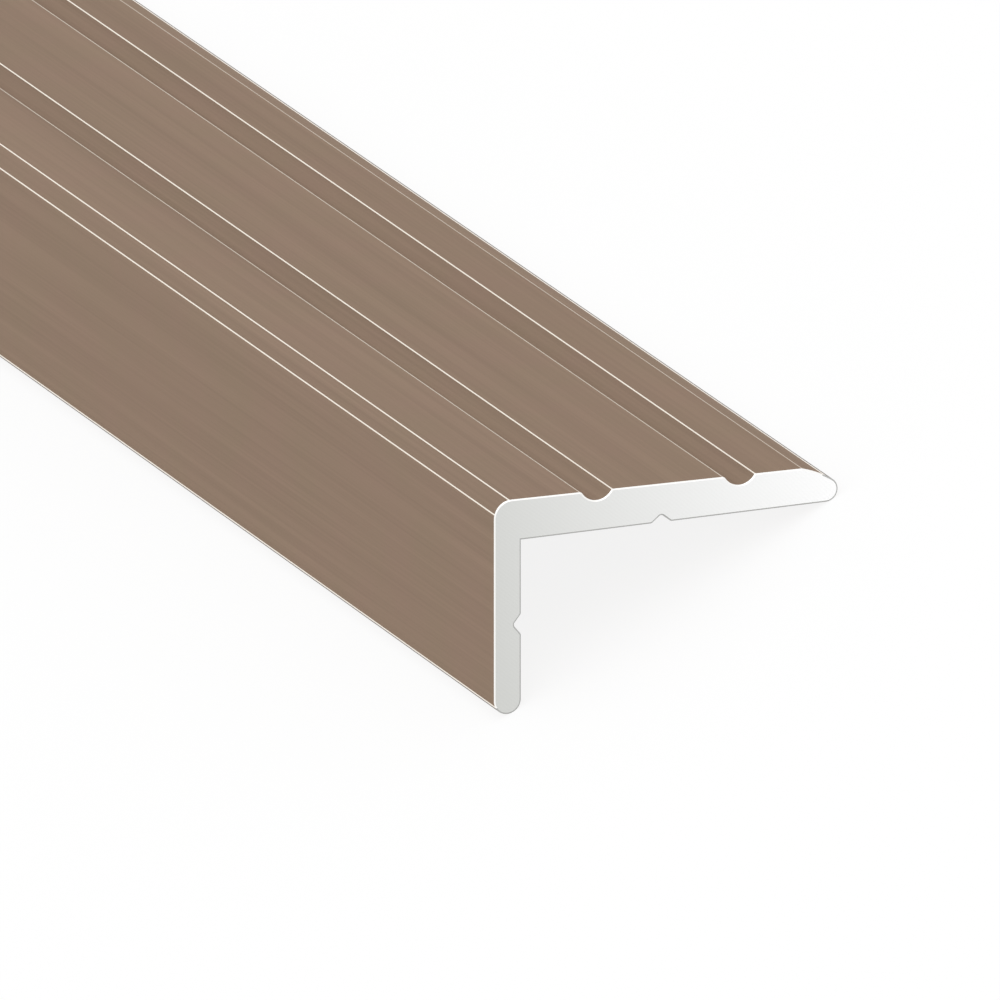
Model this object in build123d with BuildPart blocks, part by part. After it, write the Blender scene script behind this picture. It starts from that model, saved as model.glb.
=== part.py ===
from build123d import *
import os
from math import asin, atan2, cos, radians, sin, tan

# Stair nosing: one length of extruded aluminium angle with unequal legs. All sizes in millimetres.
# The section is drawn the way it is fitted to a step: x runs along the tread leg, y runs up, and
# (0, 0) is the sharp outer corner where the two legs would meet before it is rounded.

# Stock length
LENGTH = 900.0

# Tread leg, the wide one that lies on the step
TREAD_LEG_WIDTH = 25.0
TREAD_WALL = 2.9  # at the corner; the top falls towards the tip, so the leg thins outwards
TOP_FALL = 0.9  # degrees

# Riser leg, the short one that hangs down the front of the step and ends in a full round
RISER_LEG_HEIGHT = 15.0
RISER_WALL = 1.95

# Outer corner
CORNER_RADIUS = 1.25

# Nose: a crisp break in the top face, a shallow crown and a small rounded tip
NOSE_WIDTH = 2.6  # from the break to the outermost point of the tip
NOSE_FALL = 15.0  # degrees below level where the crown starts
TIP_RADIUS = 0.85

# Round-bottomed grip grooves in the top face, each with its lip on the corner side eased
GROOVE_COUNT = 2
GROOVE_OFFSET = 7.45  # outer corner to the middle of the first groove
GROOVE_PITCH = 10.4
GROOVE_WIDTH = 2.2
GROOVE_DEPTH = 0.67
GROOVE_LIP_RADIUS = 0.3

# V notches that key the adhesive, one on the hidden side of each leg
NOTCH_WIDTH = 1.4
NOTCH_DEPTH = 0.57  # to where the flanks would meet, before the bottom is rounded
NOTCH_ROUNDING = 0.25
TREAD_NOTCH_OFFSET = 12.15  # from the outer face of the riser leg
RISER_NOTCH_OFFSET = 8.8  # below the outer corner

# Edges of the two sawn ends, deburred with strokes that lean on the end rather than on the side
EDGE_BREAK_WIDTH = 0.1  # on the sawn end
EDGE_BREAK_DEPTH = 0.05  # along the piece


def top_height(x):
    """Height of the sloping top face at x."""
    return -x * tan(radians(TOP_FALL))


# Points and radii that follow from the sizes above
underside = -TREAD_WALL
half_notch = NOTCH_WIDTH / 2
leg_end_radius = RISER_WALL / 2
leg_end_centre = Vector(leg_end_radius, leg_end_radius - RISER_LEG_HEIGHT)
tip_centre = Vector(TREAD_LEG_WIDTH - TIP_RADIUS, underside + TIP_RADIUS)
nose_break_x = TREAD_LEG_WIDTH - NOSE_WIDTH
nose_start = Vector(nose_break_x, top_height(nose_break_x))
groove_radius = (GROOVE_WIDTH**2 / 4 + GROOVE_DEPTH**2) / (2 * GROOVE_DEPTH)
groove_positions = [GROOVE_OFFSET + i * GROOVE_PITCH for i in range(GROOVE_COUNT)]

# The crown is the one arc that leaves the break at the set fall and runs smoothly into the tip
crown_direction = Vector(cos(radians(NOSE_FALL)), -sin(radians(NOSE_FALL)))
crown_inward = Vector(crown_direction.Y, -crown_direction.X)
tip_to_start = nose_start - tip_centre
tip_reach = tip_to_start.dot(crown_inward) + TIP_RADIUS
crown_radius = (TIP_RADIUS**2 - tip_to_start.length**2) / (2 * tip_reach)
crown_centre = nose_start + crown_inward * crown_radius
crown_end = tip_centre + (tip_centre - crown_centre).normalized() * TIP_RADIUS

# Unheld, the angle lies like a low tent on its two long rounded edges: the end of the riser leg
# and the tip of the nose. The lean is the one that brings both rounds down to the floor.
feet = tip_centre - leg_end_centre
lean = atan2(feet.Y, feet.X) + asin((leg_end_radius - TIP_RADIUS) / feet.length)
left_reach = leg_end_centre.X * cos(lean) + leg_end_centre.Y * sin(lean) - leg_end_radius
right_reach = tip_centre.X * cos(lean) + tip_centre.Y * sin(lean) + TIP_RADIUS
lowest = tip_centre.Y * cos(lean) - tip_centre.X * sin(lean) - TIP_RADIUS
section_plane = Plane(
    origin=(-(left_reach + right_reach) / 2, LENGTH / 2, -lowest),
    x_dir=(cos(lean), 0, -sin(lean)),
    z_dir=(0, -1, 0),
)

with BuildPart() as nosing_profile:
    with BuildSketch(section_plane) as section:
        with BuildLine() as outline:
            crown = TangentArc(nose_start, crown_end, tangent=crown_direction)
            tip = TangentArc(crown_end, (tip_centre.X, underside), tangent=crown % 1)
            hidden_faces = FilletPolyline(
                tip @ 1,
                (TREAD_NOTCH_OFFSET + half_notch, underside),
                (TREAD_NOTCH_OFFSET, underside + NOTCH_DEPTH),
                (TREAD_NOTCH_OFFSET - half_notch, underside),
                (RISER_WALL, underside),
                (RISER_WALL, half_notch - RISER_NOTCH_OFFSET),
                (RISER_WALL - NOTCH_DEPTH, -RISER_NOTCH_OFFSET),
                (RISER_WALL, -half_notch - RISER_NOTCH_OFFSET),
                (RISER_WALL, leg_end_centre.Y),
                radius=[NOTCH_ROUNDING] * 3 + [0] + [NOTCH_ROUNDING] * 3,
            )
            leg_end = TangentArc(hidden_faces @ 1, (0, leg_end_centre.Y), tangent=(0, -1))
            outer_faces = FilletPolyline(leg_end @ 1, (0, 0), nose_start, radius=CORNER_RADIUS)
        make_face()
        with Locations([(x, top_height(x) + groove_radius - GROOVE_DEPTH) for x in groove_positions]):
            Circle(groove_radius, mode=Mode.SUBTRACT)
        for x in groove_positions:
            lip_x = x - GROOVE_WIDTH / 2
            lip = section.vertices().sort_by_distance((lip_x, top_height(lip_x)))[0]
            fillet(lip, radius=GROOVE_LIP_RADIUS)
    extrude(amount=LENGTH)
    for end in (0, -1):
        sawn_face = nosing_profile.faces().sort_by(Axis.Y)[end]
        chamfer(sawn_face.edges(), EDGE_BREAK_WIDTH, EDGE_BREAK_DEPTH, reference=sawn_face)

nosing_profile.part.label = "nosing_profile"
os.makedirs("parts", exist_ok=True)
export_step(nosing_profile.part, "parts/nosing_profile.step")
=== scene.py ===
"""Looks of a stair nosing: a length of bronze-anodised aluminium angle, sawn square at both ends.

The nosing lies unheld on a pale floor, like a low tent on the end of its riser leg and the tip of
its nose. Its section is drawn the way it is fitted to a step, with x along the tread leg and z up
from the sharp outer corner, and then leans with the rest of the piece. All lengths are in metres.
"""

import logging
from dataclasses import dataclass, field
from enum import Enum
from math import acos, asin, atan2, ceil, cos, radians, sin, tan, tau

import bmesh
import bpy
from mathutils import Matrix, Vector

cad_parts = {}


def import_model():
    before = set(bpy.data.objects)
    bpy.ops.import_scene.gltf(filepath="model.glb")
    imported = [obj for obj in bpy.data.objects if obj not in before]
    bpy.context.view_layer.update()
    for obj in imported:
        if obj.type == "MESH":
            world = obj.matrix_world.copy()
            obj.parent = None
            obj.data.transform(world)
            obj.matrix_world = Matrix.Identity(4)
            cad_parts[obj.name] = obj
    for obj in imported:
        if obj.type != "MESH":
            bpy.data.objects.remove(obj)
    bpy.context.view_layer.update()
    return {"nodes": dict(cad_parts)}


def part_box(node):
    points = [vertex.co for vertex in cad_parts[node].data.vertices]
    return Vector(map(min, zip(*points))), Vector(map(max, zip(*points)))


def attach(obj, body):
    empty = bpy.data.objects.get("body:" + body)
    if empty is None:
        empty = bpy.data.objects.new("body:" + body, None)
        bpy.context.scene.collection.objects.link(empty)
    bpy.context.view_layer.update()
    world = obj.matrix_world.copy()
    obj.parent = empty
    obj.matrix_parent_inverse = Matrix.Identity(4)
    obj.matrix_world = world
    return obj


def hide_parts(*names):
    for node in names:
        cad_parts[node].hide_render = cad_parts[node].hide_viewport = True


log = logging.getLogger("stair_nosing")

MM = 0.001
NODE = "nosing_profile"
WHITE = (1.0, 1.0, 1.0, 1.0)

Colour = tuple[float, float, float]
Pair = tuple[float, float]
Runs = dict[tuple[Pair, Pair], Pair]
Inputs = dict[str | int, object]
Socket = bpy.types.NodeSocket
Mesh = bmesh.types.BMesh
Face = bmesh.types.BMFace
Faces = list[Face]
Layer = bmesh.types.BMLayerItem


class Finish(Enum):
    """The finishes a face of the nosing can have, in the order of the mesh's material slots."""

    ANODISED = 0
    # Thin lines of painted highlight along the edges, bright and soft
    BRIGHT_EDGE = 1
    SOFT_EDGE = 2
    SAWN = 3
    # Broken edges of the sawn ends: bare metal with painted highlight on the upper side, painted
    # shade below
    BRIGHT_RIM = 4
    DULL_RIM = 5
    BURNISHED = 6


class Value:
    """One number from a node's socket. Arithmetic on it adds Math nodes to the graph."""

    def __init__(self, graph: "Graph", socket: Socket) -> None:
        """Wraps an output socket that carries one number."""
        self.graph = graph
        self.socket = socket

    def _math(self, operation: str, *numbers: "Value | float") -> "Value":
        """The result of one Math node on the numbers, in their order."""
        node = self.graph.node("ShaderNodeMath", {"operation": operation}, dict(enumerate(numbers)))
        return Value(self.graph, node.outputs[0])

    def __add__(self, other: "Value | float") -> "Value":
        """Sum."""
        return self._math("ADD", self, other)

    def __radd__(self, other: float) -> "Value":
        """Sum, number first."""
        return self._math("ADD", other, self)

    def __sub__(self, other: "Value | float") -> "Value":
        """Difference."""
        return self._math("SUBTRACT", self, other)

    def __rsub__(self, other: float) -> "Value":
        """Difference, number first."""
        return self._math("SUBTRACT", other, self)

    def __mul__(self, other: "Value | float") -> "Value":
        """Product."""
        return self._math("MULTIPLY", self, other)

    def __rmul__(self, other: float) -> "Value":
        """Product, number first."""
        return self._math("MULTIPLY", other, self)

    def __pow__(self, other: "Value | float") -> "Value":
        """Power."""
        return self._math("POWER", self, other)

    def __rpow__(self, other: float) -> "Value":
        """Power, number first."""
        return self._math("POWER", other, self)

    def wave(self) -> "Value":
        """Sine of the number."""
        return self._math("SINE", self)

    def clamped(self) -> "Value":
        """The number kept between 0 and 1."""
        return Value(self.graph, self.graph.node("ShaderNodeClamp", {}, {"Value": self}).outputs[0])

    def swing(self, amount: float) -> "Value":
        """How far noise is from its average of a half, times an amount."""
        return (self - 0.5) * amount


@dataclass(frozen=True)
class Grain:
    """Noise of one size, and how much of it there is in the tone, the roughness and the relief."""

    per_metre: float
    along: float = 1.0  # under 1, the marks are drawn out along the piece
    detail: float = 2.0
    crispness: float = 0.55
    tone: float = 0.0
    roughness: float = 0.0
    relief: float = 0.0


class Graph:
    """The node tree of one material or world."""

    def __init__(self, tree: bpy.types.NodeTree) -> None:
        """Empties the tree, to fill it anew."""
        self.tree = tree
        tree.nodes.clear()

    def node(self, kind: str, settings: dict[str, object], inputs: Inputs) -> bpy.types.Node:
        """Adds a node.

        Args:
            kind: the node's type name.
            settings: its own properties, which are set first.
            inputs: values or links for its sockets, by name or number.

        Returns:
            The new node.
        """
        made = self.tree.nodes.new(kind)
        for name, setting in settings.items():
            setattr(made, name, setting)
        for key, given in inputs.items():
            socket = made.inputs[key]
            if isinstance(given, Value):
                given = given.socket
            if isinstance(given, Socket):
                self.tree.links.new(given, socket)
            else:
                socket.default_value = given
        return made

    def section_place(self, section: "Section") -> Socket:
        """Where a surface point lies in the section's own axes, x along the tread leg and z up.

        Args:
            section: the nosing's section, for its lean.

        Returns:
            A vector socket.
        """
        place = self.node("ShaderNodeTexCoord", {}, {}).outputs["Object"]
        lying = {
            "Vector": place,
            "Location": section.corner_place(),
            "Rotation": (0.0, section.lean(), 0.0),
        }
        return self.node("ShaderNodeMapping", {"vector_type": "TEXTURE"}, lying).outputs["Vector"]

    def part_of(self, vector: Socket, axis: str) -> Value:
        """One component of a vector: X, Y or Z."""
        return Value(self, self.node("ShaderNodeSeparateXYZ", {}, {0: vector}).outputs[axis])

    def noise(self, place: Socket, grain: Grain) -> Value:
        """Smooth noise, about 0.5 on average.

        Args:
            place: where the noise is read.
            grain: its size.

        Returns:
            The noise.
        """
        stretch = {0: place, 1: (1.0, grain.along, 1.0)}
        drawn_out = self.node("ShaderNodeVectorMath", {"operation": "MULTIPLY"}, stretch)
        inputs = {
            "Vector": drawn_out.outputs[0],
            "Scale": grain.per_metre,
            "Detail": grain.detail,
            "Roughness": grain.crispness,
        }
        return Value(self, self.node("ShaderNodeTexNoise", {}, inputs).outputs["Fac"])

    def blend(self, share: Value | float, low: Colour | Socket, high: Colour | Socket) -> Socket:
        """A colour between two others.

        Args:
            share: 0 gives the first colour and 1 the second.
            low: the first colour.
            high: the second colour.

        Returns:
            A colour socket.
        """
        factor = share.clamped() if isinstance(share, Value) else share
        first, second = (end if isinstance(end, Socket) else (*end, 1.0) for end in (low, high))
        # The colour sockets share their names with the number sockets, so they go by number
        inputs = {0: factor, 6: first, 7: second}
        return self.node("ShaderNodeMix", {"data_type": "RGBA"}, inputs).outputs[2]

    def bump(self, height: Value, strength: float, depth: float) -> Socket:
        """A surface normal that follows fine relief of this height, strength and depth."""
        inputs = {"Strength": strength, "Distance": depth, "Height": height}
        return self.node("ShaderNodeBump", {}, inputs).outputs[0]

    def surface(self, kind: str, inputs: Inputs) -> None:
        """Ends the graph in a shader of this kind, which is the material's surface."""
        shader = self.node(kind, {}, inputs)
        self.node("ShaderNodeOutputMaterial", {}, {"Surface": shader.outputs[0]})


def new_material(name: str) -> tuple[bpy.types.Material, Graph]:
    """Makes an empty node material.

    Args:
        name: the material's name.

    Returns:
        The material and its graph.
    """
    material = bpy.data.materials.new(name)
    material.use_nodes = True
    return material, Graph(material.node_tree)


def shaded(colour: Colour, factor: float) -> Colour:
    """A colour made lighter or darker.

    Args:
        colour: linear red, green and blue.
        factor: what each is multiplied by.

    Returns:
        The new colour.
    """
    return tuple(min(part * factor, 1.0) for part in colour)


@dataclass(frozen=True)
class Section:
    """The extruded section, with the same sizes as the part itself."""

    tread_leg: float = 25.0 * MM
    tread_wall: float = 2.9 * MM
    top_fall: float = radians(0.9)
    riser_leg: float = 15.0 * MM
    riser_wall: float = 1.95 * MM
    corner_radius: float = 1.25 * MM
    nose_width: float = 2.6 * MM
    nose_fall: float = radians(15.0)
    tip_radius: float = 0.85 * MM
    groove_count: int = 2
    groove_offset: float = 7.45 * MM
    groove_pitch: float = 10.4 * MM
    groove_width: float = 2.2 * MM
    groove_depth: float = 0.67 * MM
    groove_lip_radius: float = 0.3 * MM
    notch_width: float = 1.4 * MM
    notch_depth: float = 0.57 * MM
    notch_rounding: float = 0.25 * MM
    tread_notch_offset: float = 12.15 * MM
    riser_notch_offset: float = 8.8 * MM

    @property
    def leg_end(self) -> Vector:
        """Centre of the riser leg's round end."""
        radius = self.riser_wall / 2
        return Vector((radius, 0.0, radius - self.riser_leg))

    @property
    def tip(self) -> Vector:
        """Centre of the nose's rounded tip."""
        return Vector((self.tread_leg - self.tip_radius, 0.0, self.tip_radius - self.tread_wall))

    @property
    def groove_radius(self) -> float:
        """Radius of a groove's round bottom."""
        return (self.groove_width**2 / 4 + self.groove_depth**2) / (2 * self.groove_depth)

    def along_top(self, reach: float, height: float = 0.0) -> Vector:
        """A point on, above or below the sloping top face.

        Args:
            reach: distance along the face from the outer corner.
            height: distance from the face, outwards.

        Returns:
            The point.
        """
        along = Vector((cos(self.top_fall), 0.0, -sin(self.top_fall)))
        outwards = Vector((sin(self.top_fall), 0.0, cos(self.top_fall)))
        return along * reach + outwards * height

    def lean(self) -> float:
        """How far the section leans about the +Y axis when both rounded feet are on the floor.

        Returns:
            The angle.
        """
        feet = self.tip - self.leg_end
        radii = self.riser_wall / 2 - self.tip_radius
        return atan2(feet.z, feet.x) + asin(radii / feet.length)

    def corner_place(self) -> Vector:
        """Where the outer corner lies above the floor, with the leaning section centred on x.

        Returns:
            The place.
        """
        turn = Matrix.Rotation(self.lean(), 3, "Y")
        left = (turn @ self.leg_end).x - self.riser_wall / 2
        right = (turn @ self.tip).x + self.tip_radius
        low = (turn @ self.tip).z - self.tip_radius
        return Vector((-(left + right) / 2, 0.0, -low))

    def placed(self) -> Matrix:
        """The transform from the section's own axes to where the piece lies."""
        return Matrix.Translation(self.corner_place()) @ Matrix.Rotation(self.lean(), 4, "Y")


@dataclass(frozen=True)
class AnodisedBronze:
    """Satin bronze anodising: faint die lines along the piece under an etched grain."""

    colour: Colour = (0.287, 0.209, 0.156)
    darkest: float = 0.9
    lightest: float = 1.2
    rosy: Colour = (0.296, 0.206, 0.160)
    olive: Colour = (0.279, 0.212, 0.152)
    cast_share: float = 0.35
    all_rosy: float = 0.35  # the cloud noise at which the cast is rosy alone
    sheen: Colour = (0.62, 0.56, 0.52)
    roughness: float = 0.42
    metallic: float = 0.5
    fine_lines: Grain = Grain(5200.0, along=0.004, detail=3.0, tone=1.6, roughness=0.12, relief=0.6)
    broad_lines: Grain = Grain(700.0, along=0.01, tone=1.2)
    etching: Grain = Grain(16000.0, detail=1.0, tone=0.8, roughness=0.08, relief=0.4)
    clouds: Grain = Grain(140.0, tone=3.3)
    relief: float = 0.12
    relief_depth: float = 0.02 * MM

    def material(self, section: Section) -> bpy.types.Material:
        """Builds the material.

        Args:
            section: the nosing's section, whose axes the die lines follow.

        Returns:
            The material.
        """
        made, graph = new_material("anodised_bronze")
        place = graph.section_place(section)
        fine, broad, etched = self.fine_lines, self.broad_lines, self.etching
        lines = graph.noise(place, fine)
        bands = graph.noise(place, broad)
        specks = graph.noise(place, etched)
        clouds = graph.noise(place, self.clouds)
        tone = 0.5 + lines.swing(fine.tone) + bands.swing(broad.tone) + specks.swing(etched.tone)
        dark, light = shaded(self.colour, self.darkest), shaded(self.colour, self.lightest)
        cast = graph.blend((clouds - self.all_rosy) * self.clouds.tone, self.rosy, self.olive)
        rough = self.roughness + lines.swing(fine.roughness) + specks.swing(etched.roughness)
        height = lines * fine.relief + specks * etched.relief
        inputs = {
            "Base Color": graph.blend(self.cast_share, graph.blend(tone, dark, light), cast),
            "Roughness": rough,
            "Metallic": self.metallic,
            "Specular Tint": (*self.sheen, 1.0),
            "Specular IOR Level": 0.0,
            "Normal": graph.bump(height, self.relief, self.relief_depth),
        }
        graph.surface("ShaderNodeBsdfPrincipled", inputs)
        return made


@dataclass(frozen=True)
class EdgeMetal:
    """Metal along an edge: lines of painted highlight, broken edges where a burr came off with
    painted highlight above and painted shade below, and bronze rubbed smooth.
    """

    name: str
    colour: Colour
    roughness: float
    metallic: float = 1.0
    unevenness: float = 0.08
    sheen: Colour = (1.0, 1.0, 1.0)
    streaks: Grain = Grain(9000.0, along=0.02, tone=0.6)
    patches: Grain = Grain(900.0, tone=0.8, roughness=0.1)

    def material(self, section: Section) -> bpy.types.Material:
        """Builds the material.

        Args:
            section: the nosing's section, whose axes the marks follow.

        Returns:
            The material.
        """
        made, graph = new_material(self.name)
        place = graph.section_place(section)
        streaks = graph.noise(place, self.streaks)
        patches = graph.noise(place, self.patches)
        tone = 0.5 + streaks.swing(self.streaks.tone) + patches.swing(self.patches.tone)
        dark = shaded(self.colour, 1 - self.unevenness)
        light = shaded(self.colour, 1 + self.unevenness)
        inputs = {
            "Base Color": graph.blend(tone, dark, light),
            "Roughness": self.roughness + patches.swing(self.patches.roughness),
            "Metallic": self.metallic,
            "Specular Tint": (*self.sheen, 1.0),
            "Specular IOR Level": 0.0,
        }
        graph.surface("ShaderNodeBsdfPrincipled", inputs)
        return made


@dataclass(frozen=True)
class SawnAluminium:
    """Bare metal of a sawn end, with the blade's shallow arcs and a painted sheen that makes it
    brighter towards the nose.
    """

    # Base colours at the two ends of the painted sheen: grey at the foot, white at the tip
    painted_sheen_at_foot: Colour = (0.650, 0.656, 0.634)
    painted_sheen_at_tip: Colour = (1.0, 1.0, 1.0)
    painted_sheen_at_corner: float = 0.11
    painted_sheen_gained_across: float = 0.9
    painted_sheen_lost_down: float = 8.0  # per metre
    roughness: float = 0.4
    blade_radius: float = 125 * MM
    hub: Pair = (0.6, 0.8)  # how far it is left of and below the corner, in blade radii
    tooth_pitch: float = 0.22 * MM
    arc_tone: float = 0.02
    arc_roughness: float = 0.02
    arc_relief: float = 0.3
    wander: Grain = Grain(260.0)
    wander_turn: float = 5.4  # how far the arcs stray, as an angle of their wave
    grit: Grain = Grain(14000.0, tone=0.08, roughness=0.1, relief=0.7)
    relief: float = 0.1
    relief_depth: float = 0.01 * MM

    def material(self, section: Section) -> bpy.types.Material:
        """Builds the material.

        Args:
            section: the nosing's section, whose width the painted sheen is spread over.

        Returns:
            The material.
        """
        made, graph = new_material("sawn_aluminium")
        place = graph.section_place(section)
        across = graph.part_of(place, "X")
        up = graph.part_of(place, "Z")
        left, below = (share * self.blade_radius for share in self.hub)
        from_hub = ((across + left) ** 2 + (up + below) ** 2) ** 0.5
        stray = graph.noise(place, self.wander) * self.wander_turn
        arcs = (from_hub * (tau / self.tooth_pitch) + stray).wave()
        grit = graph.noise(place, self.grit)
        # Painted sheen in the base colour: lighter across towards the nose and darker down the
        # riser
        gained = self.painted_sheen_gained_across / section.tread_leg
        sheen = across * gained + up * self.painted_sheen_lost_down + self.painted_sheen_at_corner
        tone = sheen + arcs * self.arc_tone + grit.swing(self.grit.tone)
        rough = self.roughness + arcs * self.arc_roughness + grit.swing(self.grit.roughness)
        height = arcs * self.arc_relief + grit * self.grit.relief
        inputs = {
            "Base Color": graph.blend(tone, self.painted_sheen_at_foot, self.painted_sheen_at_tip),
            "Roughness": rough,
            "Metallic": 1.0,
            "Normal": graph.bump(height, self.relief, self.relief_depth),
        }
        graph.surface("ShaderNodeBsdfPrincipled", inputs)
        return made


class OutlinePen:
    """Draws a closed outline in the XZ plane with mesh operators and notes each run's finish."""

    arc_step: float = radians(3.0)
    same_place: float = 0.001 * MM

    def __init__(self, mesh: Mesh, start: Vector) -> None:
        """Puts the pen down.

        Args:
            mesh: the mesh to draw in.
            start: the outline's first point.
        """
        self.mesh = mesh
        self.side = mesh.edges.layers.int.new("side_finish")
        self.rim = mesh.edges.layers.int.new("rim_finish")
        self.drawn = mesh.edges.layers.int.new("drawn")
        # The broken edge starts with painted shade
        self.rim_finish = Finish.DULL_RIM
        self.first = mesh.verts.new(start)
        self.at = self.first

    def _note(self, finish: Finish) -> None:
        """Marks the edges just drawn with their finishes.

        Args:
            finish: the finish of the long faces that will stand on them.
        """
        for edge in self.mesh.edges:
            if not edge[self.drawn]:
                edge[self.drawn] = 1
                edge[self.side] = finish.value
                edge[self.rim] = self.rim_finish.value

    def line(self, end: Vector, finish: Finish = Finish.ANODISED) -> None:
        """Draws a straight run.

        Args:
            end: where it ends.
            finish: the finish along it.
        """
        made = bmesh.ops.extrude_vert_indiv(self.mesh, verts=[self.at])
        self.at = made["verts"][0]
        self.at.co = end
        self._note(finish)

    def arc(self, centre: Vector, turn: float, finish: Finish = Finish.ANODISED) -> None:
        """Draws a round run.

        Args:
            centre: the arc's centre.
            turn: how far it goes round, anticlockwise with x to the right and z up.
            finish: the finish along it.
        """
        made = bmesh.ops.spin(
            self.mesh,
            geom=[self.at],
            cent=centre,
            axis=(0.0, -1.0, 0.0),
            angle=turn,
            steps=max(1, ceil(abs(turn) / self.arc_step)),
        )
        self.at = next(item for item in made["geom_last"] if isinstance(item, bmesh.types.BMVert))
        self._note(finish)

    def corner(self, point: Vector, towards: Vector, radius: float) -> None:
        """Draws up to a corner of two straight runs and round it.

        Args:
            point: where the runs would meet.
            towards: a point on the second run.
            radius: radius of the rounded corner.
        """
        into = (point - self.at.co).normalized()
        out = (towards - point).normalized()
        turn = atan2(into.x * out.z - into.z * out.x, into.dot(out))
        cut = radius * tan(abs(turn) / 2)
        self.line(point - into * cut)
        side = 1.0 if turn > 0 else -1.0
        inwards = Vector((-into.z, 0.0, into.x)) * side
        self.arc(self.at.co + inwards * radius, turn)

    def close(self) -> Face:
        """Joins the outline's end to its start and gives the face inside it."""
        bmesh.ops.remove_doubles(self.mesh, verts=[self.first, self.at], dist=self.same_place)
        return bmesh.ops.contextual_create(self.mesh, geom=self.mesh.edges[:])["faces"][0]


@dataclass(frozen=True)
class FlatMap:
    """The piece's faces laid out flat on a square map, onto which the finishes can be baked.

    The two sawn ends lie side by side along the bottom. Above them lie the broken edges, as two
    narrow bands, and then the long faces, in their order round the section. The thin lines are
    widened.
    """

    section: Section
    length: float
    break_depth: float
    name: str = "OFBake"
    gap: float = 0.005
    rim_height: float = 0.008
    line_widening: float = 6.0

    def spread(self, end: Face, finishes: Layer) -> Runs:
        """Spreads the section's runs over the map's width, with a gap wherever the finish changes.

        Args:
            end: the near sawn end.
            finishes: the layer that holds each run's finish.

        Returns:
            Each run's start and end on the map, by its start and end in the section.
        """
        spans = {}
        reach, gaps, before = 0.0, 0, None
        for loop in end.loops:
            finish = loop.edge[finishes]
            gaps += finish != before
            before = finish
            widening = 1.0 if finish == Finish.ANODISED.value else self.line_widening
            width = loop.edge.calc_length() * widening
            ends = tuple(loop.vert.co.xz), tuple(loop.link_loop_next.vert.co.xz)
            spans[ends] = reach, reach + width, gaps * self.gap
            reach += width
        scale = (1.0 - (gaps + 1) * self.gap) / reach
        return {
            ends: (low * scale + shift, high * scale + shift)
            for ends, (low, high, shift) in spans.items()
        }

    def lay_band(self, faces: Faces, layer: Layer, runs: Runs, along: Pair, up: Pair) -> None:
        """Lays the faces that stand on the section's runs as one band across the map.

        Args:
            faces: the faces.
            layer: the map's layer in the mesh.
            runs: where each run lies on the map's width.
            along: where the faces start and end along the piece.
            up: the band's lower and upper edges on the map.
        """
        for face in faces:
            places = {tuple(vert.co.xz) for vert in face.verts}
            ends = next(ends for ends in runs if places.issuperset(ends))
            for loop in face.loops:
                nearest = loop, loop.link_loop_next, loop.link_loop_prev
                beside = (tuple(near.vert.co.xz) for near in nearest)
                place = next(place for place in beside if place in ends)
                share = (loop.vert.co.y - along[0]) / (along[1] - along[0])
                loop[layer].uv = (runs[ends][ends.index(place)], up[1] + (up[0] - up[1]) * share)

    def lay_end(self, end: Face, layer: Layer, scale: float) -> None:
        """Lays one sawn end in its half of the map's bottom, as it is seen from outside.

        Args:
            end: the sawn end.
            layer: the map's layer in the mesh.
            scale: map widths per metre.
        """
        for loop in end.loops:
            across, up = loop.vert.co.xz
            reach = self.gap + across * scale
            place = 1.0 - reach if end.normal.y > 0 else reach
            loop[layer].uv = (place, self.gap + (up + self.section.riser_leg) * scale)

    def lay_out(self, mesh: Mesh, runs: Runs, ends: Faces, rims: list[Faces], sides: Faces) -> None:
        """Lays out every face.

        Args:
            mesh: the mesh.
            runs: where each run lies on the map's width.
            ends: the near and the far sawn end.
            rims: the faces of the near and the far broken edges.
            sides: the long faces.
        """
        layer = mesh.loops.layers.uv.verify()
        # Two ends and three gaps fill the width
        scale = (1.0 - 3 * self.gap) / 2 / self.section.tread_leg
        for end in ends:
            self.lay_end(end, layer, scale)
        low = self.section.riser_leg * scale + 2 * self.gap
        inner, outer = self.length / 2 - self.break_depth, self.length / 2
        for rim, along in zip(rims, ((-outer, -inner), (inner, outer))):
            self.lay_band(rim, layer, runs, along, (low, low + self.rim_height))
            low += self.rim_height + self.gap
        self.lay_band(sides, layer, runs, (-inner, inner), (low, 1.0 - self.gap))


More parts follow.
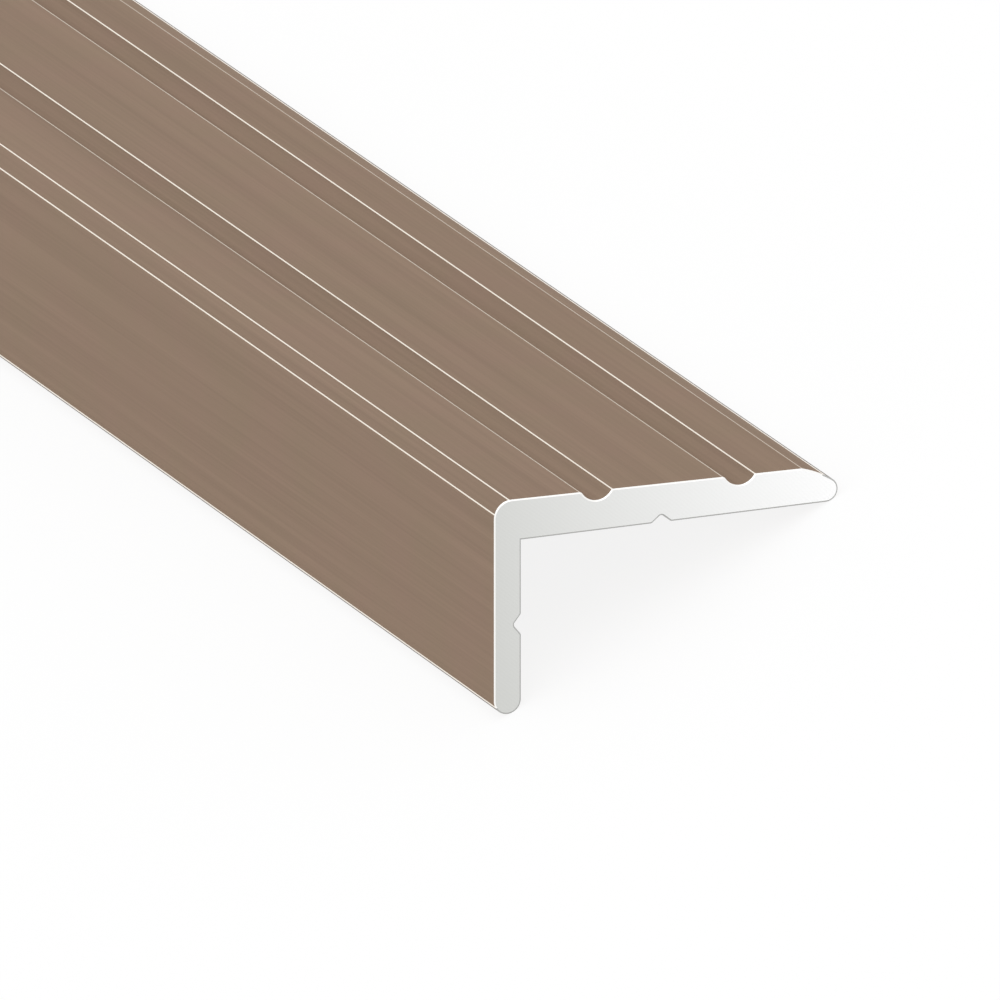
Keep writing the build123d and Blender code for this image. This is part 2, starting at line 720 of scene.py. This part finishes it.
@dataclass
class NosingProfile:
    """The extruded piece itself."""

    section: Section = field(default_factory=Section)
    length: float = 900 * MM
    break_width: float = 0.1 * MM
    break_depth: float = 0.05 * MM
    # Widths of the painted highlight lines along the edges
    bright_line: float = 0.115 * MM
    riser_line: float = 0.095 * MM
    soft_line: float = 0.08 * MM
    lip_widening: float = 1.5
    # How far round the fillet each of its two painted highlight lines is from the nearer end
    corner_line_low: float = radians(12.7)
    corner_line_high: float = radians(5.6)
    # How far round the nose and the foot their painted highlight line and their burnished strips
    # reach
    crown_line: float = radians(2.3)
    crown_burnish: float = radians(3.7)
    tip_burnish: float = radians(9.0)
    foot_line: Pair = (radians(20.7), radians(31.2))
    foot_burnish: float = radians(53.0)
    sharp_from: float = radians(12)
    anodised: AnodisedBronze = AnodisedBronze()
    sawn: SawnAluminium = SawnAluminium()
    # Painted highlights in thin lines along the edges
    painted_highlight_edge: EdgeMetal = EdgeMetal("painted_highlight_edge", (0.99, 0.88, 0.78), 0.35)
    painted_soft_highlight_edge: EdgeMetal = EdgeMetal("painted_soft_highlight_edge", (0.61, 0.52, 0.43), 0.4)
    # Broken edges of the sawn ends: painted highlight on the upper side, painted shade below
    painted_highlight_rim: EdgeMetal = EdgeMetal("painted_highlight_rim", (0.97, 0.96, 0.94), 0.35, unevenness=0.03)
    painted_shade_rim: EdgeMetal = EdgeMetal("painted_shade_rim", (0.43, 0.43, 0.42), 0.5, metallic=0.0)
    burnished: EdgeMetal = EdgeMetal(
        "burnished_bronze", (0.287, 0.209, 0.156), 0.3, sheen=(0.5, 0.52, 0.54)
    )

    def draw_top(self, pen: OutlinePen) -> None:
        """Draws the fillet and the top face with its grooves, up to the break of the nose.

        Args:
            pen: the pen, at the fillet's lower end.
        """
        s = self.section
        quarter = radians(90) + s.top_fall
        start = s.corner_radius * tan(quarter / 2)
        centre = s.along_top(start, -s.corner_radius)
        low_turn = self.riser_line / s.corner_radius
        high_turn = self.bright_line / s.corner_radius
        # The fillet's two lines are painted highlights
        pen.arc(centre, -self.corner_line_low)
        pen.arc(centre, -low_turn, Finish.BRIGHT_EDGE)
        lines = self.corner_line_low + low_turn + high_turn + self.corner_line_high
        pen.arc(centre, lines - quarter)
        pen.arc(centre, -high_turn, Finish.BRIGHT_EDGE)
        pen.arc(centre, -self.corner_line_high)
        height = s.groove_radius - s.groove_depth
        lip_reach = s.groove_radius + s.groove_lip_radius
        lip_turn = acos((height + s.groove_lip_radius) / lip_reach)
        lip_line = self.soft_line * self.lip_widening / s.groove_lip_radius
        far_turn = acos(height / s.groove_radius)
        in_groove = self.bright_line / 3
        far_line = in_groove / s.groove_radius
        for number in range(s.groove_count):
            middle = s.groove_offset + number * s.groove_pitch
            lip = middle - lip_reach * sin(lip_turn)
            lip_centre = s.along_top(lip, -s.groove_lip_radius)
            bottom_centre = s.along_top(middle, height)
            pen.line(s.along_top(lip))
            # A soft painted highlight on the groove's near lip, a bright one on its far lip
            pen.arc(lip_centre, -lip_line, Finish.SOFT_EDGE)
            pen.arc(lip_centre, lip_line - lip_turn)
            pen.arc(bottom_centre, lip_turn + far_turn - far_line)
            pen.arc(bottom_centre, far_line, Finish.BRIGHT_EDGE)
            on_top = middle + s.groove_width / 2 + self.bright_line - in_groove
            pen.line(s.along_top(on_top), Finish.BRIGHT_EDGE)

    def draw_nose(self, pen: OutlinePen) -> None:
        """Draws the crown of the nose and its tip, round to the underside.

        Args:
            pen: the pen, on the top face.
        """
        s = self.section
        begin = s.along_top((s.tread_leg - s.nose_width) / cos(s.top_fall))
        inwards = Vector((-sin(s.nose_fall), 0.0, -cos(s.nose_fall)))
        offset = begin - s.tip
        reach = offset.dot(inwards) + s.tip_radius
        crown_radius = (s.tip_radius**2 - offset.length_squared) / (2 * reach)
        centre = begin + inwards * crown_radius
        out = s.tip - centre
        crown_end = atan2(out.z, out.x)
        crown_turn = radians(90) - s.nose_fall - crown_end
        line_turn = self.soft_line / 2 / crown_radius
        # A soft painted highlight on the break of the nose, then a bright one on its crown
        pen.line(begin - Vector((self.soft_line / 2, 0.0, 0.0)))
        pen.line(begin, Finish.SOFT_EDGE)
        pen.arc(centre, -line_turn, Finish.SOFT_EDGE)
        pen.arc(centre, line_turn + self.crown_line + self.crown_burnish - crown_turn)
        # From the crown round the underside, the broken edge gets painted shade
        pen.rim_finish = Finish.DULL_RIM
        pen.arc(centre, -self.crown_line, Finish.BRIGHT_EDGE)
        pen.arc(centre, -self.crown_burnish, Finish.BURNISHED)
        pen.arc(s.tip, -self.tip_burnish, Finish.BURNISHED)
        pen.arc(s.tip, self.tip_burnish - crown_end - radians(90))

    def draw_notch(
        self, pen: OutlinePen, middle: Vector, along: Vector, into: Vector, last: Vector
    ) -> None:
        """Draws a V notch with a rounded bottom and shoulders.

        Args:
            pen: the pen, on the flat before the notch.
            middle: the notch's middle, on the flat.
            along: the pen's direction along the flat.
            into: the direction into the metal.
            last: a point on the flat after the notch.
        """
        s = self.section
        points = [
            middle - along * s.notch_width / 2,
            middle + into * s.notch_depth,
            middle + along * s.notch_width / 2,
            last,
        ]
        for point, following in zip(points, points[1:]):
            pen.corner(point, following, s.notch_rounding)

    def draw_hidden_faces(self, pen: OutlinePen) -> None:
        """Draws the underside of the tread leg, the inner corner and the inside of the riser leg.

        Args:
            pen: the pen, at the end of the tip.
        """
        s = self.section
        underside = -s.tread_wall
        left, up = Vector((-1.0, 0.0, 0.0)), Vector((0.0, 0.0, 1.0))
        inner_corner = Vector((s.riser_wall, 0.0, underside))
        tread_notch = Vector((s.tread_notch_offset, 0.0, underside))
        self.draw_notch(pen, tread_notch, left, up, inner_corner)
        pen.line(inner_corner)
        foot = Vector((s.riser_wall, 0.0, s.leg_end.z))
        riser_notch = Vector((s.riser_wall, 0.0, -s.riser_notch_offset))
        self.draw_notch(pen, riser_notch, -up, left, foot)
        pen.line(foot)

    def draw_leg(self, pen: OutlinePen) -> None:
        """Draws the riser leg's round end and its outer face up to the fillet.

        Args:
            pen: the pen, at the inner foot.
        """
        s = self.section
        line_end, line_start = self.foot_line
        pen.arc(s.leg_end, self.foot_burnish - radians(180))
        pen.arc(s.leg_end, line_start - self.foot_burnish, Finish.BURNISHED)
        # From the foot up the outer face, the broken edge gets a painted highlight
        pen.rim_finish = Finish.BRIGHT_RIM
        # A bright painted highlight round the foot
        pen.arc(s.leg_end, line_end - line_start, Finish.BRIGHT_EDGE)
        pen.arc(s.leg_end, -line_end)
        fillet_start = s.corner_radius * tan((radians(90) + s.top_fall) / 2)
        pen.line(Vector((0.0, 0.0, -fillet_start)))

    def build(self) -> bpy.types.Object:
        """Builds the piece where it lies.

        Returns:
            The new object.
        """
        s = self.section
        flat_map = FlatMap(s, self.length, self.break_depth)
        mesh = bmesh.new()
        mesh.loops.layers.uv.new(flat_map.name)
        pen = OutlinePen(mesh, Vector((s.riser_wall, 0.0, s.leg_end.z)))
        self.draw_leg(pen)
        self.draw_top(pen)
        self.draw_nose(pen)
        self.draw_hidden_faces(pen)
        near = pen.close()
        self.extrude(mesh, near, pen, flat_map)
        bmesh.ops.transform(mesh, matrix=s.placed(), verts=mesh.verts)
        data = bpy.data.meshes.new(NODE + "_dressed")
        mesh.to_mesh(data)
        mesh.free()
        return bpy.data.objects.new(NODE + "_dressed", data)

    def extrude(self, mesh: Mesh, near: Face, pen: OutlinePen, flat_map: FlatMap) -> None:
        """Draws the section out, breaks the edges of both sawn ends and marks the finishes.

        Args:
            mesh: the mesh that holds the section.
            near: the section's face.
            pen: the pen that drew it, for its finishes.
            flat_map: how the faces are laid out flat.
        """
        begin = self.break_depth - self.length / 2
        bmesh.ops.translate(mesh, vec=(0.0, begin, 0.0), verts=mesh.verts)
        made = bmesh.ops.extrude_face_region(mesh, geom=[near], use_keep_orig=True)
        moved = [item for item in made["geom"] if isinstance(item, bmesh.types.BMVert)]
        bmesh.ops.translate(mesh, vec=(0.0, -2 * begin, 0.0), verts=moved)
        bmesh.ops.recalc_face_normals(mesh, faces=mesh.faces)
        across = [face for face in mesh.faces if abs(face.normal.y) > 0.5]
        ends = sorted(across, key=lambda end: end.normal.y)
        sides = [face for face in mesh.faces if face not in ends]
        runs = flat_map.spread(ends[0], pen.side)
        rims = []
        for end in ends:
            made = bmesh.ops.inset_region(
                mesh,
                faces=[end],
                thickness=self.break_width,
                depth=self.break_depth,
                use_even_offset=True,
            )
            rims.append(made["faces"])
            end.material_index = Finish.SAWN.value
        for faces, layer in ((sides, pen.side), (rims[0], pen.rim), (rims[1], pen.rim)):
            for face in faces:
                noted = max(face.edges, key=lambda edge: edge[pen.drawn])
                face.material_index = noted[layer]
        flat_map.lay_out(mesh, runs, ends, rims, sides)

    def dress(self, piece: bpy.types.Object) -> None:
        """Gives the piece its finishes and smooth rounds.

        Args:
            piece: the object that build made.
        """
        finishes = {
            Finish.ANODISED: self.anodised,
            Finish.BRIGHT_EDGE: self.painted_highlight_edge,
            Finish.SOFT_EDGE: self.painted_soft_highlight_edge,
            Finish.SAWN: self.sawn,
            Finish.BRIGHT_RIM: self.painted_highlight_rim,
            Finish.DULL_RIM: self.painted_shade_rim,
            Finish.BURNISHED: self.burnished,
        }
        for finish in Finish:
            piece.data.materials.append(finishes[finish].material(self.section))
        piece.data.shade_smooth()
        piece.data.set_sharp_from_angle(angle=self.sharp_from)
        normals = piece.modifiers.new("flat_faces_stay_flat", "WEIGHTED_NORMAL")
        normals.keep_sharp = True


@dataclass
class Studio:
    """The pale floor, soft light and camera."""

    section: Section
    near_end: float
    floor_radius: float = 60.0
    floor_sides: int = 64
    floor_colour: Colour = (0.93, 0.93, 0.93)
    floor_own_light: float = 0.87
    sky_level: float = 0.97
    key_level: float = 0.5
    key_softness: float = radians(60)
    key_from: tuple[float, float, float] = (0.1, -0.75, 0.75)
    view_azimuth: float = radians(-22.795)
    view_elevation: float = radians(17.115)
    pixels: int = 1000
    pixels_per_metre: float = 14910.0
    corner_pixel: Pair = (494.2, 501.65)
    lens: float = 1500.0

    def view_axes(self) -> tuple[Vector, Vector, Vector]:
        """The camera's axes. Their angles are those of the piece as fitted, so they lean too.

        Returns:
            The directions right, up and back.
        """
        a, e = self.view_azimuth, self.view_elevation
        right = Vector((cos(a), sin(a), 0.0))
        back = Vector((sin(a) * cos(e), -cos(a) * cos(e), sin(e)))
        turn = Matrix.Rotation(self.section.lean(), 3, "Y")
        return turn @ right, turn @ back.cross(right), turn @ back

    def camera(self) -> bpy.types.Object:
        """Makes the camera: far off with a long lens, so that the view is nearly parallel.

        Returns:
            The camera.
        """
        right, up, back = self.view_axes()
        data = bpy.data.cameras.new("camera")
        data.lens = self.lens
        corner = self.section.corner_place() + Vector((0.0, self.near_end, 0.0))
        tip = self.section.placed().to_3x3() @ self.section.tip
        half = self.pixels / 2
        aim = corner + back * tip.dot(back)
        aim += right * ((half - self.corner_pixel[0]) / self.pixels_per_metre)
        aim += up * ((self.corner_pixel[1] - half) / self.pixels_per_metre)
        distance = self.pixels / self.pixels_per_metre * self.lens / data.sensor_width
        camera = bpy.data.objects.new("camera", data)
        turned = Matrix((right, up, back)).transposed().to_4x4()
        camera.matrix_world = Matrix.Translation(aim + back * distance) @ turned
        data.clip_start = distance / 2
        data.clip_end = distance * 4
        return camera

    def floor(self) -> bpy.types.Object:
        """Makes the floor.

        Returns:
            The floor.
        """
        mesh = bmesh.new()
        radius, sides = self.floor_radius, self.floor_sides
        bmesh.ops.create_circle(mesh, cap_ends=True, segments=sides, radius=radius)
        data = bpy.data.meshes.new("floor")
        mesh.to_mesh(data)
        mesh.free()
        material, graph = new_material("pale_floor")
        paper = graph.node("ShaderNodeBsdfDiffuse", {}, {"Color": (*self.floor_colour, 1.0)})
        glow = graph.node("ShaderNodeEmission", {}, {"Color": WHITE, "Strength": 1.0})
        share = self.seen(graph) * self.floor_own_light
        graph.surface("ShaderNodeMixShader", {0: share, 1: paper.outputs[0], 2: glow.outputs[0]})
        data.materials.append(material)
        return bpy.data.objects.new("floor", data)

    def seen(self, graph: Graph) -> Value:
        """1 for what the camera sees, directly or by reflection, and 0 for light on other things.

        Args:
            graph: the graph that reads it.

        Returns:
            The mask.
        """
        path = graph.node("ShaderNodeLightPath", {}, {}).outputs
        names = "Is Camera Ray", "Is Glossy Ray", "Is Transmission Ray"
        straight, mirrored, through = (Value(graph, path[name]) for name in names)
        return (straight + mirrored + through).clamped()

    def world(self) -> bpy.types.World:
        """Makes the even white surroundings.

        Returns:
            The world.
        """
        world = bpy.data.worlds.new("white_room")
        world.use_nodes = True
        graph = Graph(world.node_tree)
        strength = self.sky_level + self.seen(graph) * (1.0 - self.sky_level)
        light = graph.node("ShaderNodeBackground", {}, {"Color": WHITE, "Strength": strength})
        graph.node("ShaderNodeOutputWorld", {}, {"Surface": light.outputs[0]})
        return world

    def key(self) -> bpy.types.Object:
        """Makes the soft key light, from high in front of the cut end.

        Returns:
            The light.
        """
        data = bpy.data.lights.new("key", "SUN")
        data.energy = self.key_level
        data.angle = self.key_softness
        light = bpy.data.objects.new("key", data)
        light.rotation_euler = Vector(self.key_from).to_track_quat("Z", "Y").to_euler()
        return light

    def build(self) -> None:
        """Puts the whole studio into the scene."""
        scene = bpy.context.scene
        camera, floor, key = self.camera(), self.floor(), self.key()
        for thing in (camera, floor, key):
            scene.collection.objects.link(thing)
        scene.camera = camera
        scene.world = self.world()
        scene.view_settings.view_transform = "Standard"


def main() -> None:
    """Loads the frame and builds the nosing and its studio."""
    logging.basicConfig(level=logging.INFO, format="%(name)s: %(message)s")
    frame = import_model()
    low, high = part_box(NODE)
    log.info("frame holds %s", ", ".join(frame["nodes"]))
    profile = NosingProfile(length=high.y - low.y)
    piece = profile.build()
    bpy.context.scene.collection.objects.link(piece)
    profile.dress(piece)
    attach(piece, "root")
    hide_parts(NODE)
    faces = len(piece.data.polygons)
    log.info("%s: %d faces, %.1f mm long", piece.name, faces, profile.length / MM)
    Studio(profile.section, near_end=low.y).build()


if __name__ == "__main__":
    main()
